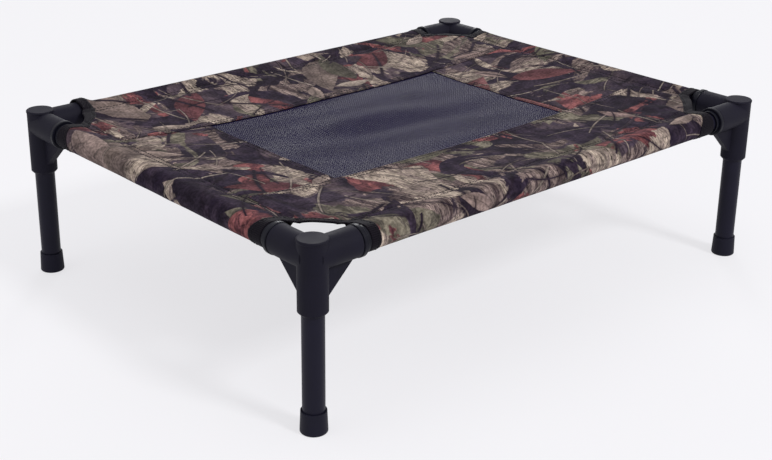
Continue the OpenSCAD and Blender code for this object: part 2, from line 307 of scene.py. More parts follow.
# %% Smooth steps, bells and waves
def ease(start, stop, value):
    """Smooth step: 0 up to start, 1 from stop on, and s * s * (3 - 2 s) for the share s between them."""
    share = np.clip((value - start) / (stop - start), 0, 1)
    return share * share * (3 - 2 * share)


def bell(value, width):
    """A bell curve, exp(-(value / width) ** 2)."""
    return np.exp(-(value / width) ** 2)


def wander(fast, bend, slow):
    """A sine wave whose spacing wanders, sin(fast + bend * sin(slow))."""
    return np.sin(fast + bend * np.sin(slow))


print("half way up a step:", ease(0, 1, 0.5), "one width out on a bell:", round(float(bell(1, 1)), 2))

# %% Folds of the cloth
# Each wave is given by its length divided by 2 pi. The fan starts at another point in each corner.
FAN, FAN_STEP, FAN_BEND, FAN_DRIFT = 0.7 * MM, np.radians(2.6), 2, 34 * MM
FAN_START_X, FAN_START_Y = 1.3, 2.1
FAN_PLACE, FAN_WIDTH = 78 * MM, 42 * MM
FAN_OFF_RAIL, FAN_OFF_CUT = (4 * MM, 18 * MM), 25 * MM
# Puckers along x and along y: wave, bend and drift
PUCKER, PUCKER_WIDTH = 0.18 * MM, 9 * MM
PUCKER_WAVES = ((2.9 * MM, 1.7, 17 * MM), (2.7 * MM, 1.9, 19 * MM))
SWELL, SWELL_WAVE, SWELL_BEND, SWELL_DRIFT = 0.4 * MM, 13 * MM, 1.2, 55 * MM
SLANT_SHARE, SLANT_WAVE_X, SLANT_WAVE_Y = 0.7, 31 * MM, 60 * MM


def folds(x, y, in_x, in_y):
    """Folds of the cloth at in_x and in_y inside the rails: a fan of waves round each corner, puckers along
    the hems, and two slow swells that fade towards the rails."""
    phase = FAN_START_X * (x > 0) + FAN_START_Y * (y > 0)
    reach, turn = np.hypot(in_x, in_y), np.arctan2(in_y, in_x)
    fan = wander(turn / FAN_STEP + phase, FAN_BEND, reach / FAN_DRIFT + phase)
    fan = fan * bell(reach - FAN_PLACE, FAN_WIDTH) * ease(*FAN_OFF_RAIL, np.minimum(in_x, in_y))
    fan = fan * ease(corner_cut, corner_cut + FAN_OFF_CUT, in_x + in_y)
    puckers = sum(
        wander(along / wave, bend, along / drift) * bell(inside - hem_in, PUCKER_WIDTH)
        for along, inside, (wave, bend, drift) in zip((x, y), (in_y, in_x), PUCKER_WAVES)
    )
    swell = wander(y / SWELL_WAVE, SWELL_BEND, x / SWELL_DRIFT)
    swell = swell + SLANT_SHARE * np.sin(x / SLANT_WAVE_X + y / SLANT_WAVE_Y)
    middle = (1 - (x / half_x) ** 2) * (1 - (y / half_y) ** 2)
    return FAN * fan + PUCKER * puckers + SWELL * swell * middle


print("fold in the middle:", round(float(folds(0, 0, half_x, half_y)) / MM, 2), "mm")

# %% Height of the cover
DIP_POWER = 3
PUFF, PUFF_REACH, PUFF_FADE = 0.7 * MM, 16 * MM, 9 * MM
STITCH_LINES = np.array([2.0, 8.5]) * MM
DENT, DENT_WIDTH = 0.6 * MM, 1.2 * MM
VALLEY, VALLEY_PLACE, VALLEY_WIDTH = 1.3 * MM, 5 * MM, 8 * MM
RIDE, RIDE_FULL, RIDE_GONE, RIDE_REACH = 4.6 * MM, 49 * MM, 64 * MM, 14 * MM


def end_puff(past):
    """Puff of a sleeve near its end: full at the end, and fading with the distance past it."""
    return PUFF * np.exp(-np.maximum(past, 0) / PUFF_REACH)


def ride_up(x, y):
    """Height that the rear sleeve gains at its left end, where it rides over the bush: RIDE up to RIDE_FULL
    from the post axis, and nothing from RIDE_GONE on."""
    return RIDE * (1 - ease(RIDE_FULL, RIDE_GONE, half_x + x)) * (y > 0)


def cover_z(x, y):
    """Height of the cover: sheet_z - sag (1 - |x/half_x|^3)(1 - |y/half_y|^3), with puffs and folds added,
    and the stitches' dents and the hems' valleys taken off."""
    in_x, in_y = half_x - np.abs(x), half_y - np.abs(y)
    dip = (1 - (np.abs(x) / half_x) ** DIP_POWER) * (1 - (np.abs(y) / half_y) ** DIP_POWER)
    puff = end_puff(in_x - sleeve_end) * np.exp(-in_y / PUFF_FADE)
    puff = puff + end_puff(in_y - sleeve_end) * np.exp(-in_x / PUFF_FADE)
    puff = puff + ride_up(x, y) * bell(in_y, RIDE_REACH)
    past = np.stack(np.broadcast_arrays(in_x, in_y)) - hem_in
    dents = sum(bell(past + line, DENT_WIDTH).sum(axis=0) for line in STITCH_LINES)
    valleys = bell(past + VALLEY_PLACE, VALLEY_WIDTH).sum(axis=0)
    return sheet_z - sag * dip + puff + folds(x, y, in_x, in_y) - DENT * dents - VALLEY * valleys


print("cover height in the middle:", round(float(cover_z(0.0, 0.0)) / MM, 1), "mm")

# %% [markdown]
# ## Printed cloth
# The cover is polyester woven with thick yarn and printed in woodland colours: plum, olive, tan, dull
# pink and brick. The pattern here is a plain camouflage of its own, of soft blotches with scattered
# lance-shaped leaves and twigs. It could be painted as an image. Built from nodes it stays sharp at
# any size, and it reads the cloth's own flat coordinates, so it runs round the sleeves as print does.
# A cell texture deals out one leaf or twig per cell.

# %% A scattered leaf or twig
TIP_LEAN = 0.3
RAGGED_PER_MM, RAGGED_SHARE = 0.28, 0.09
INK_FADE_MM = 0.9
SHADOW_SHARE, SHADOW_MM = 0.3, 1
RIB_NEAR_MM, RIB_FAR_MM, RIB_DARK = 0.2, 1.1, 0.5
SIDE_SHARE, SIDE_DARK = 0.3, 0.4


def motif(tree, spot, gap, length, width, bend, share, turn, shift):
    """One lance-shaped motif per cell. Seen from the cell's centre and turned by the cell's own random
    angle, a point is inside where |across| < width / 2 * (1 - t^2) * (1 + TIP_LEAN t), with
    t = along / (length / 2). A bend moves it across by bend * t^2, and a noise makes its edge ragged.
    All sizes are millimetres. Returns its mask, its shadow, its dark rib and side, and a random number."""
    moved = add(tree, "VectorMath", {0: spot, 1: (*shift, 0)}, operation="ADD")
    cell = add(tree, "TexVoronoi", {"Vector": moved, "Scale": 1 / gap}, voronoi_dimensions="2D").outputs
    local = add(tree, "VectorMath", {0: moved, 1: cell["Position"]}, operation="SUBTRACT")
    random = add(tree, "SeparateColor", {0: cell["Color"]}).outputs
    angle = add(tree, "MapRange", {0: random[0], 3: turn[0], 4: turn[1]})
    turned = add(tree, "VectorRotate", {"Vector": local, "Angle": angle}, rotation_type="Z_AXIS")
    axes = add(tree, "SeparateXYZ", {0: turned}).outputs
    t = add(tree, "Math", {0: axes["X"], 1: length / 2}, operation="DIVIDE")
    square = add(tree, "Math", {0: t, 1: t}, operation="MULTIPLY")
    bow = add(tree, "Math", {0: square, 1: -width / 2, 2: width / 2}, operation="MULTIPLY_ADD")
    lean = add(tree, "Math", {0: t, 1: TIP_LEAN, 2: 1.0}, operation="MULTIPLY_ADD")
    outline = add(tree, "Math", {0: bow, 1: lean}, operation="MULTIPLY")
    sideways = add(tree, "Math", {0: square, 1: bend, 2: axes["Y"]}, operation="MULTIPLY_ADD")
    across = add(tree, "Math", {0: sideways}, operation="ABSOLUTE")
    room = add(tree, "Math", {0: outline, 1: across}, operation="SUBTRACT")
    ragged = add(tree, "TexNoise", {"Vector": moved, "Scale": RAGGED_PER_MM, "Detail": 2.0},
                 noise_dimensions="2D")
    room = add(tree, "Math", {0: ragged, 1: RAGGED_SHARE * width, 2: room}, operation="MULTIPLY_ADD")
    here = add(tree, "Math", {0: random[1], 1: share}, operation="LESS_THAN")
    mask = add(tree, "MapRange", {0: room, 1: 0.0, 2: INK_FADE_MM, 3: 0.0, 4: here},
               interpolation_type="SMOOTHSTEP")
    shadow = add(tree, "MapRange", {0: room, 1: -SHADOW_SHARE * width - SHADOW_MM, 2: 0.0, 3: 0.0, 4: here})
    rib = add(tree, "MapRange", {0: across, 1: RIB_NEAR_MM, 2: RIB_FAR_MM, 3: RIB_DARK, 4: 0.0})
    side = add(tree, "MapRange", {0: sideways, 1: -SIDE_SHARE * width, 2: SIDE_SHARE * width,
                                  3: 0.0, 4: SIDE_DARK})
    shade = add(tree, "Math", {0: rib, 1: side}, operation="MAXIMUM")
    return mask, shadow, shade, random[2]


def cloth_place(tree):
    """Place on the flat cloth in millimetres. Each piece of cloth has it in metres in the UV map flat."""
    flat = add(tree, "UVMap", uv_map="flat")
    return add(tree, "VectorMath", {0: flat, "Scale": 1 / MM}, operation="SCALE")


print("a motif's edge fades over", INK_FADE_MM, "mm, and its shadow reaches", SHADOW_MM, "mm and more")

# %% Blotches of the print
STREAK_LOW, STREAK_HIGH = 0.36, 0.64
CRACK_WIDTH = 0.018
DARK_INK = linear("#261e28")

printed_cloth, tree = new_finish("woven_polyester_printed_camouflage")
spot = cloth_place(tree)
colour = linear("#2c2530")
# A blotch is a noise cut off at a ragged edge. A stretched noise mixes its two tints in streaks, and its
# cracks follow lines on which that noise is equal: two tints, size, edge, streak width and length,
# angle, crack depth, crack lines, shift
for tints, size, edge, streak, angle, crack, lines, shift in (
    (("#443a47", "#5e5056"), 130, (0.44, 0.60), (26, 70), 0.3, 0.3, 1, (11, 4)),
    (("#57494a", "#9e8b84"), 115, (0.55, 0.57), (6, 60), 1.0, 0.8, 9, (130, 71)),
    (("#4d4842", "#837b6d"), 95, (0.57, 0.59), (12, 30), 2.2, 0.5, 1, (-72, 215)),
    (("#5a383e", "#925b5b"), 92, (0.575, 0.595), (12, 34), 0.5, 0.6, 1, (310, 18)),
    (("#8c7c76", "#c0af9f"), 84, (0.58, 0.60), (7, 46), 1.5, 0.7, 7, (-205, -330)),
    (("#2a2230", "#3c323f"), 80, (0.54, 0.56), (12, 28), 0.8, 0.2, 1, (95, -512)),
):
    moved = add(tree, "VectorMath", {0: spot, 1: (*shift, 0)}, operation="ADD")
    cloud = add(tree, "TexNoise", {"Vector": moved, "Scale": 1 / size, "Detail": 5.0, "Distortion": 0.8},
                noise_dimensions="2D")
    amount = add(tree, "MapRange", {0: cloud, 1: edge[0], 2: edge[1]}, interpolation_type="SMOOTHSTEP")
    stretched = add(tree, "Mapping", {0: moved, "Rotation": (0, 0, angle),
                                      "Scale": (1 / streak[0], 1 / streak[1], 1)})
    grain = add(tree, "TexNoise", {"Vector": stretched, "Scale": 1.0, "Detail": 4.0, "Distortion": 0.4},
                noise_dimensions="2D")
    streaks = add(tree, "MapRange", {0: grain, 1: STREAK_LOW, 2: STREAK_HIGH})
    steps = add(tree, "Math", {0: grain, 1: lines}, operation="MULTIPLY")
    steps = add(tree, "Math", {0: steps}, operation="FRACT")
    cracks = add(tree, "Math", {0: steps, 1: 0.5, 2: CRACK_WIDTH * lines}, operation="COMPARE")
    cracks = add(tree, "Math", {0: cracks, 1: crack}, operation="MULTIPLY")
    tint = add(tree, "Mix", {0: streaks, 6: linear(tints[0]), 7: linear(tints[1])}, data_type="RGBA")
    tint = add(tree, "Mix", {0: cracks, 6: tint, 7: DARK_INK}, data_type="RGBA")
    colour = add(tree, "Mix", {0: amount, 6: colour, 7: tint}, data_type="RGBA")
print("blotches:", len(tree.nodes), "nodes so far")

# %% Leaves and twigs of the print
FULL_TURN = 2 * np.pi
SHADOW_DARK = 0.45

# From the back to the front: two tints, gap, length, width, bend, share of the cells, turns, shift
for tints, gap, length, width, bend, share, turn, shift in (
    (("#7d6e68", "#9a8680"), 120, 105, 38, 8, 0.25, (0, FULL_TURN), (17, 403)),
    (("#5c574e", "#757061"), 96, 80, 26, -6, 0.25, (0, FULL_TURN), (251, 88)),
    (("#684145", "#8a5f5f"), 105, 84, 30, 6, 0.25, (0, FULL_TURN), (-140, 37)),
    (("#2a222d", "#40363f"), 74, 170, 4.0, 18, 0.70, (0.2, 2.6), (77, -260)),
    (("#9c8c82", "#c2b4a6"), 64, 160, 2.4, -16, 0.70, (0.4, 2.0), (-31, 190)),
    (("#a89a8e", "#957e7a"), 84, 46, 15, 3, 0.30, (0, FULL_TURN), (412, -95)),
    (("#b3a598", "#8d7d76"), 52, 130, 1.9, 22, 0.65, (1.8, 3.6), (-233, 507)),
    (("#271f2a", "#382e38"), 58, 120, 2.4, -20, 0.60, (1.6, 4.0), (-377, 141)),
):
    mask, shadow, shade, pick = motif(tree, spot, gap, length, width, bend, share, turn, shift)
    dim = add(tree, "Math", {0: shadow, 1: SHADOW_DARK}, operation="MULTIPLY")
    colour = add(tree, "Mix", {0: dim, 6: colour, 7: DARK_INK}, data_type="RGBA")
    tint = add(tree, "Mix", {0: pick, 6: linear(tints[0]), 7: linear(tints[1])}, data_type="RGBA")
    tint = add(tree, "Mix", {0: shade, 6: tint, 7: DARK_INK}, data_type="RGBA")
    colour = add(tree, "Mix", {0: mask, 6: colour, 7: tint}, data_type="RGBA")
print("leaves and twigs:", len(tree.nodes), "nodes so far")

# %% Printed polyester
# Thick yarn gives a matt face with little shine. Its 0.5 mm weave is drawn at 2 mm so that it shows.
MOTTLE_MM, SPECKLE_MM = 14, 3
FLECK_LOW, FLECK_HIGH = 0.35, 0.65
FLECK_DARK, FLECK_BRIGHT = 0.67, 1.16
WEAVE_MM = 2.0

for size in (MOTTLE_MM, SPECKLE_MM):
    fleck = add(tree, "TexNoise", {"Vector": spot, "Scale": 1 / size, "Detail": 3.0}, noise_dimensions="2D")
    fleck = add(tree, "MapRange", {0: fleck, 1: FLECK_LOW, 2: FLECK_HIGH, 3: FLECK_DARK, 4: FLECK_BRIGHT})
    colour = add(tree, "VectorMath", {0: colour, "Scale": fleck}, operation="SCALE")

# The weave is the product of two sine waves, across the cloth and along it.
phase = add(tree, "VectorMath", {0: spot, "Scale": FULL_TURN / WEAVE_MM}, operation="SCALE")
wave = add(tree, "VectorMath", {0: phase}, operation="SINE")
wave = add(tree, "SeparateXYZ", {0: wave}).outputs
weave = add(tree, "Math", {0: wave["X"], 1: wave["Y"]}, operation="MULTIPLY")
bump = add(tree, "Bump", {"Height": weave, "Strength": 0.4, "Distance": 0.1 * MM})
shader = add(tree, "BsdfPrincipled", {
    "Base Color": colour, "Normal": bump, "Roughness": 0.8, "IOR": 1.5, "Specular IOR Level": 0.02,
    "Sheen Weight": 0.02, "Sheen Roughness": 0.4})
add(tree, "OutputMaterial", {"Surface": shader})
print(printed_cloth.name, "has", len(tree.nodes), "nodes")

# %% [markdown]
# ## Back of the cloth
# The wrong side shows under the cot and inside the sleeves. It isn't printed: it carries a dull
# waterproof coating that shows the weave only faintly. The printed finish could be darkened for it,
# but a coating hides the pattern, so it gets a plain finish of its own.

# %% Back of the cloth
# A rolled-on coating is grey and a little uneven over 35 mm. Its fine bump is the weave beneath, drawn
# as coarse as on the face.
COATING_MM, COATING_BUMP_MM = 35, 2

cloth_back, tree = new_finish("coated_polyester_back")
spot = cloth_place(tree)
cloud = add(tree, "TexNoise", {"Vector": spot, "Scale": 1 / COATING_MM, "Detail": 4.0},
            noise_dimensions="2D")
tone = add(tree, "Mix", {0: cloud, 6: linear("#37333a"), 7: linear("#4b464a")}, data_type="RGBA")
fine = add(tree, "TexNoise", {"Vector": spot, "Scale": 1 / COATING_BUMP_MM, "Detail": 1.0},
           noise_dimensions="2D")
bump = add(tree, "Bump", {"Height": fine, "Strength": 0.3, "Distance": 0.1 * MM})
shader = add(tree, "BsdfPrincipled", {
    "Base Color": tone, "Normal": bump, "Roughness": 0.7, "IOR": 1.5, "Specular IOR Level": 0.3})
add(tree, "OutputMaterial", {"Surface": shader})
print(cloth_back.name, "has", len(tree.nodes), "nodes")

# %% [markdown]
# ## Sewing the printed pieces
# A cover piece starts at its inner seam, runs over the rail, wraps round it as a sleeve and comes
# back underneath to its hem. It could be a thick solid, but a thin sheet shows real edges and hems.
# So each piece is a grid: one parameter runs along the rail, the other follows the cloth across it.
# Solidify then gives it thickness, with the print outside and the coated back inside.

# %% From grid to mesh
CLOTH_T = 0.8 * MM


def make_piece(name, points, faces, flat, *materials):
    """A smooth mesh object that rides on the cot. flat holds each point's place on the uncut cloth, in
    metres."""
    mesh = bpy.data.meshes.new(name)
    mesh.from_pydata(points.tolist(), [], faces.tolist())
    mesh.uv_layers.new(name="flat").data.foreach_set("uv", flat[faces.ravel()].ravel())
    mesh.shade_smooth()
    for material in materials:
        mesh.materials.append(material)
    piece = bpy.data.objects.new(name, mesh)
    bpy.context.scene.collection.objects.link(piece)
    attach(piece, "cot")
    return piece


def cell_corners(grid):
    """The four corners of each cell of a grid, in order round the cell."""
    return np.stack([grid[:-1, :-1], grid[1:, :-1], grid[1:, 1:], grid[:-1, 1:]], axis=2)


def grid_cells(points, keep=None):
    """Four-sided cells of a grid of points. Their order makes the first column's cells face up."""
    rows, columns = points.shape[:2]
    cells = cell_corners(np.arange(rows * columns).reshape(rows, columns))
    middle = rows // 2
    rise = np.cross(points[middle + 1, 0] - points[middle, 0], points[middle, 1] - points[middle, 0])
    cells = cells if rise[2] > 0 else cells[..., ::-1]
    return cells.reshape(-1, 4) if keep is None else cells[keep]


def thicken(piece, thickness, back_slot=0):
    """Solidify, half to each side of the sheet. back_slot is the far side's material slot."""
    shell = piece.modifiers.new("thickness", "SOLIDIFY")
    shell.thickness = thickness
    shell.offset = 0
    shell.material_offset = back_slot


def sheet_area(points, cells):
    """Area of a sheet in square metres: half the length of each cell's crossed diagonals, added up."""
    corner = points[cells]
    crossed = np.cross(corner[:, 2] - corner[:, 0], corner[:, 3] - corner[:, 1])
    return float(np.linalg.norm(crossed, axis=-1).sum() / 2)


def sew(name, points, cells, flat):
    """A printed piece with its thickness, the width and length that it was cut to, and its area."""
    piece = make_piece(name, points, cells, flat, printed_cloth, cloth_back)
    thicken(piece, CLOTH_T, back_slot=1)
    length, width = np.ptp(flat, axis=0).tolist()
    print(name, "cut to", round(width / MM), "by", round(length / MM), "mm,", len(cells), "cells")
    return piece, (width, length), sheet_area(points, cells)


square = np.stack([*np.meshgrid([0, 0.5, 1], [0, 0.5, 1], indexing="ij"), np.zeros((3, 3))], axis=-1)
print("test of the area:", sheet_area(square.reshape(-1, 3), grid_cells(square)), "for a square metre")

# %% [markdown]
# ## Edges and sleeves
# The cloth ends where a bush begins, and at each corner it is cut off aslant. On the real cot the
# long sleeves weren't sewn equally long: one stops a little short, and one runs on over its bush.
# Each could be modelled by hand. Here a function gives the edge for any line along the rail, and a
# second one slides the ends of the long sleeves, so that the tape and the stitches can follow them.

# %% Edges of the cloth
EDGE_ROUND, SEAM_OPEN = 0.5 * MM, 0.03 * MM
FRONT_SHORT, REAR_LONG, SLIDE_FADE = 5 * MM, 12 * MM, 90 * MM


def edge_at(depth):
    """Distance from the post axis to the cloth's edge, on the line at this depth inside the rail: the
    sleeve's end, then the corner cut, then the other rail's hem. A soft minimum, mean - root(half
    difference^2 + EDGE_ROUND^2), rounds the turn."""
    mean = (sleeve_end + corner_cut - depth) / 2
    half_difference = (sleeve_end - corner_cut + depth) / 2
    return np.maximum(hem_in + SEAM_OPEN, mean - np.hypot(half_difference, EDGE_ROUND))


def slide(x, y):
    """Shift along x of the sleeves on the long rails: the front one stops FRONT_SHORT early at its right
    end, and the rear one runs REAR_LONG on at its left end. It fades along the sleeve and towards the end
    piece."""
    in_x, in_y = half_x - np.abs(x), half_y - np.abs(y)
    amount = FRONT_SHORT * (x > 0) * (y < 0) + REAR_LONG * (x < 0) * (y > 0)
    along = 1 - ease(sleeve_end, sleeve_end + SLIDE_FADE, in_x)
    return -amount * along * (1 - ease(CUT_DEPTH, corner_cut - hem_in, in_y))


print("edge in mm, on the rail and at the hem:", (edge_at(np.array([0, hem_in])) / MM).round(1).tolist())

# %% Lines of the cloth across a rail
STEP, LEAST_STEP = 2.6 * MM, 0.25 * MM
FINE = np.array([-2.2, -1.2, -0.6, 0, 0.6, 1.2, 2.2]) * MM
FOLD_STITCHES = np.array([2.4, 8.2]) * MM
FOLD_EDGE = np.array([0, 0.3, 0.7, 1.2]) * MM


def depth_lines(inner):
    """Depths of the lines from the inner seam out to the rail: even steps, finer at the fold and the
    stitches, and never closer than LEAST_STEP."""
    even = np.linspace(0, inner, int(inner / STEP) + 1)
    hem = (hem_in - STITCH_LINES[:, None] + FINE).ravel()
    fold = inner - np.concatenate([FOLD_EDGE, (FOLD_STITCHES[:, None] + FINE[1:-1]).ravel()])
    lines = np.unique(np.concatenate([even, hem, [hem_in], fold]).clip(0, inner).round(5))
    lines = lines[np.append(True, np.diff(lines) > LEAST_STEP)]
    return np.unique(np.append(lines, [inner, hem_in, 0.0]))[::-1]


print("lines on top of a long strip:", len(depth_lines(half_y - seam_y)))

# %% Sleeve round a rail
WRAP = np.linspace(0, 1, 25)[1:]
UNDER = np.linspace(0, 1, 8)[1:]
HEM_DROP = 1.3 * MM
CREASE_SHARE, CREASE_ROUND, CREASE_ALONG, CREASE_REACH = 0.35, 7, 30, 14 * MM
SLACK, SLACK_WAVE, SLACK_BEND, SLACK_DRIFT = 0.3 * MM, 13 * MM, 2, 41 * MM
SLACK_NONE, SLACK_FULL = 8 * MM, 40 * MM


def leave_turn(rise):
    """Angle at which the cloth leaves the rail for its hem, which lies hem_in inwards and rise above the
    rail's axis: the hem's own angle, less arccos(sleeve_r / distance), since a tangent meets its radius
    squarely."""
    return 2 * np.pi + np.arctan2(rise, hem_in) - np.arccos(sleeve_r / np.hypot(hem_in, rise))


def sleeve_sheet(half, stations, height, depths, ride=0):
    """Points (along, inwards, height) of a cover piece, one row per station along the rail. Columns follow
    the cloth: the top layer at each depth, the wrap round the rail at sleeve_r plus ride, puff, creases and
    slack, and the hem turned back under."""
    top_along = np.stack([stations(depth) for depth in depths], axis=1)
    top_depth = np.broadcast_to(depths, top_along.shape)
    top = np.stack([top_along, top_depth, height(top_along, top_depth)], axis=-1)
    along = stations(0.0)[:, None]
    hem_z = height(along, hem_in) - HEM_DROP
    turn = np.pi / 2 + (leave_turn(hem_z - rail_z) - np.pi / 2) * WRAP
    past = half - np.abs(along) - sleeve_end
    crease = np.sin(CREASE_ROUND * turn + CREASE_ALONG * along / half)
    crease = crease * bell(past - CREASE_REACH, CREASE_REACH)
    puff = (end_puff(past) + CREASE_SHARE * PUFF * crease) * np.clip(np.sin(turn), 0, None)
    slack = wander(along / SLACK_WAVE + turn, SLACK_BEND, along / SLACK_DRIFT) * np.cos(turn) ** 2
    radius = sleeve_r + ride + puff + SLACK * slack * ease(SLACK_NONE, SLACK_FULL, past)
    wrap = np.stack([along + 0 * turn, radius * np.cos(turn), rail_z + radius * np.sin(turn)], axis=-1)
    hem = np.stack([along, hem_in + 0 * along, hem_z], axis=-1)
    under = wrap[:, -1:] + (hem - wrap[:, -1:]) * UNDER[:, None]
    return np.concatenate([top, wrap, under], axis=1)


def run_length(path):
    """Length run along a path up to each of its points."""
    return np.append(0, np.cumsum(np.linalg.norm(np.diff(path, axis=0), axis=-1)))


def flat_place(grid, print_shift):
    """Place of each grid point on the uncut cloth: along the rail, and along the cloth from the inner seam,
    measured on the middle row. print_shift is where the piece was cut from the print."""
    run = run_length(grid[len(grid) // 2])
    return np.stack([grid[..., 0], run + 0 * grid[..., 0]], axis=-1) + print_shift


print("lines round a sleeve and under it:", len(WRAP), "+", len(UNDER))

# %% [markdown]
# ## Long strips
# Each long strip lies over the edge of the mesh and the end panels with a folded border, held by two
# rows of stitches. The border stands up by about the thickness of the cloth under it. It could be a
# strip of its own, but a fold is one with its cloth, so it is a rise in the strip's own height.

# %% Long strips
FOLD_LIFT, PANEL_LIFT, FOLD_CURL = 0.9 * MM, 0.5 * MM, 0.35 * MM
FOLD_FLAT, FOLD_GONE, FOLD_ROLL = 9 * MM, 16 * MM, 0.6 * MM
CROSS_START, CROSS_UP, CROSS_DOWN, CROSS_GONE = np.array([-9, -1, 9, 18]) * MM
STRIP_ROWS, STRIP_CROWD = 190, 0.4


def fold_lift(past, lift):
    """Height of a folded border over the sheet below it: flat up to FOLD_FLAT past the fold, gone at
    FOLD_GONE, rolled down at the fold, and dented by its stitches."""
    dents = sum(bell(past - line, DENT_WIDTH) for line in FOLD_STITCHES)
    return lift * (1 - ease(FOLD_FLAT, FOLD_GONE, past)) - FOLD_CURL * bell(past, FOLD_ROLL) - DENT * dents


def strip_z(x, y):
    """Height of a long strip: the cover's surface and the folded border at the long seam, which rises
    once more where it crosses the borders of the end panels."""
    past = np.maximum(window_lo.x - x, x - window_hi.x)
    over = ease(CROSS_START, CROSS_UP, past) * (1 - ease(CROSS_DOWN, CROSS_GONE, past))
    return cover_z(x, y) + fold_lift(np.abs(y) - seam_y, FOLD_LIFT + PANEL_LIFT * over)


def long_strip(name, side, print_shift):
    """The strip along the front (side -1) or rear (side 1) rail. Its rows crowd towards the ends."""
    spread = np.linspace(-1, 1, STRIP_ROWS)
    spread = spread * (1 + STRIP_CROWD - STRIP_CROWD * spread * spread)

    def stations(depth):
        """Places along the rail at this depth, from one edge of the cloth to the other."""
        along = spread * (half_x - edge_at(depth))
        return along + slide(along, side * (half_y - depth))

    def height(along, depth):
        """Height of the strip, this far along the rail and inside it."""
        return strip_z(along, side * (half_y - depth))

    ride = ride_up(stations(0.0), side)[:, None]
    grid = sleeve_sheet(half_x, stations, height, depth_lines(half_y - seam_y), ride)
    points = np.stack([grid[..., 0], side * (half_y - grid[..., 1]), grid[..., 2]], axis=-1)
    flat = flat_place(grid, print_shift)
    return sew(name, points.reshape(-1, 3), grid_cells(points), flat.reshape(-1, 2))


strip_front = long_strip("printed_strip_front", -1, (0.15, 3.0))
strip_rear = long_strip("printed_strip_rear", 1, (2.69, 2.53))

# %% [markdown]
# ## End pieces
# An end piece is cut like a T: the wide bar is the sleeve on the short rail, and the stem is the panel
# that runs to the window. The stem's sides tuck under the long strips, and its end lies over the mesh.
# Two sheets could be joined, but the real one is cut from one cloth. So it is one grid with the bar's
# width, and the cells beside the stem are left out of it.

# %% End pieces
TUCK = np.array([2, 4, 6]) * MM
PANEL_ROWS, ARM_ROWS, ARM_CROWD = 76, 30, 0.6


def end_piece(name, side, window_edge, print_shift):
    """The piece on the left (side -1) or right (side 1) rail, from its hem to the window's edge."""
    inner = half_x - abs(window_edge)
    depths = depth_lines(inner)
    panel = np.linspace(-seam_y, seam_y, PANEL_ROWS)
    arm = np.linspace(0, 1, ARM_ROWS)[1:]
    arm = arm * (1 + ARM_CROWD - ARM_CROWD * arm)

    def stations(depth):
        """Places along the rail: the panel, its tucked edges, and the T's arms out to the sleeve's end."""
        start = seam_y + TUCK[-1]
        outer = start + (half_y - edge_at(min(depth, hem_in)) - start) * arm
        return np.concatenate([-outer[::-1], -seam_y - TUCK[::-1], panel, seam_y + TUCK, outer])

    def height(along, depth):
        """Height of the piece: the cover's surface, and the folded border along the window."""
        return cover_z(side * (half_x - depth), along) + fold_lift(inner - depth, PANEL_LIFT)

    grid = sleeve_sheet(half_y, stations, height, depths)
    points = np.stack([side * (half_x - grid[..., 1]), grid[..., 0], grid[..., 2]], axis=-1)
    flat = flat_place(grid, print_shift)
    row = np.arange(points.shape[0] - 1)[:, None]
    column = np.arange(points.shape[1] - 1)[None, :]
    stem = (row >= len(arm)) & (row < points.shape[0] - 1 - len(arm))
    keep = stem | (column >= int(np.searchsorted(-depths, -hem_in)))
    used, cells = np.unique(grid_cells(points, keep), return_inverse=True)
    return sew(name, points.reshape(-1, 3)[used], cells.reshape(-1, 4), flat.reshape(-1, 2)[used])


end_left = end_piece("printed_end_left", -1, window_lo.x, (0.37, 1.27))
end_right = end_piece("printed_end_right", 1, window_hi.x, (1.31, 0.83))

# %% [markdown]
# ## Mesh window
# The window is a mesh woven from coated polyester yarn, with small square holes. They are drawn about
# 3 mm apart, coarser than they may be, so that they show. Holes painted on a plane would let no light
# through, so they are cut: each cell of a grid becomes four quads round a hole. The yarn's crossings
# stand a little higher than the rims of the holes. The mesh is less tight than the cloth, so it has
# slow waves of its own that catch the light.

# %% Mesh finish
# A PVC coat over the yarn gives a soft satin shine on a blue-grey colour. The yarn's 0.3 mm fibres are
# drawn at 1 mm so that they show.
COAT_PATCH_MM, YARN_MM = 40, 1.0
COAT_GLOSS = (0.17, 0.24)

coated_mesh, tree = new_finish("pvc_coated_polyester_mesh")
place = add(tree, "TexCoord").outputs["Object"]
cloud = add(tree, "TexNoise", {"Vector": place, "Scale": 1 / (COAT_PATCH_MM * MM), "Detail": 3.0})
tone = add(tree, "Mix", {0: cloud, 6: linear("#1a1630"), 7: linear("#231e3c")}, data_type="RGBA")
rough = add(tree, "MapRange", {0: cloud, 1: NOISE_LOW, 2: NOISE_HIGH, 3: COAT_GLOSS[0], 4: COAT_GLOSS[1]})
yarn = add(tree, "TexNoise", {"Vector": place, "Scale": 1 / (YARN_MM * MM), "Detail": 2.0})
bump = add(tree, "Bump", {"Height": yarn, "Strength": 0.1, "Distance": 0.05 * MM})
shader = add(tree, "BsdfPrincipled", {
    "Base Color": tone, "Roughness": rough, "Normal": bump, "IOR": 1.5, "Specular IOR Level": 0.0075})
add(tree, "OutputMaterial", {"Surface": shader})
print(coated_mesh.name, "has", len(tree.nodes), "nodes")

# %% Mesh window
MESH_PITCH, HOLE_SHARE = 2.95 * MM, 0.3
MESH_T, MESH_LOW, YARN_RISE, MESH_TUCK = 0.5 * MM, 0.45 * MM, 0.03 * MM, 6 * MM
# Height of each wave, its angle per half window along and across, and its start
MESH_WAVES = ((2.8 * MM, 1.1, 4.6, -0.5), (1.4 * MM, 5.2, -1.4, 0.6))


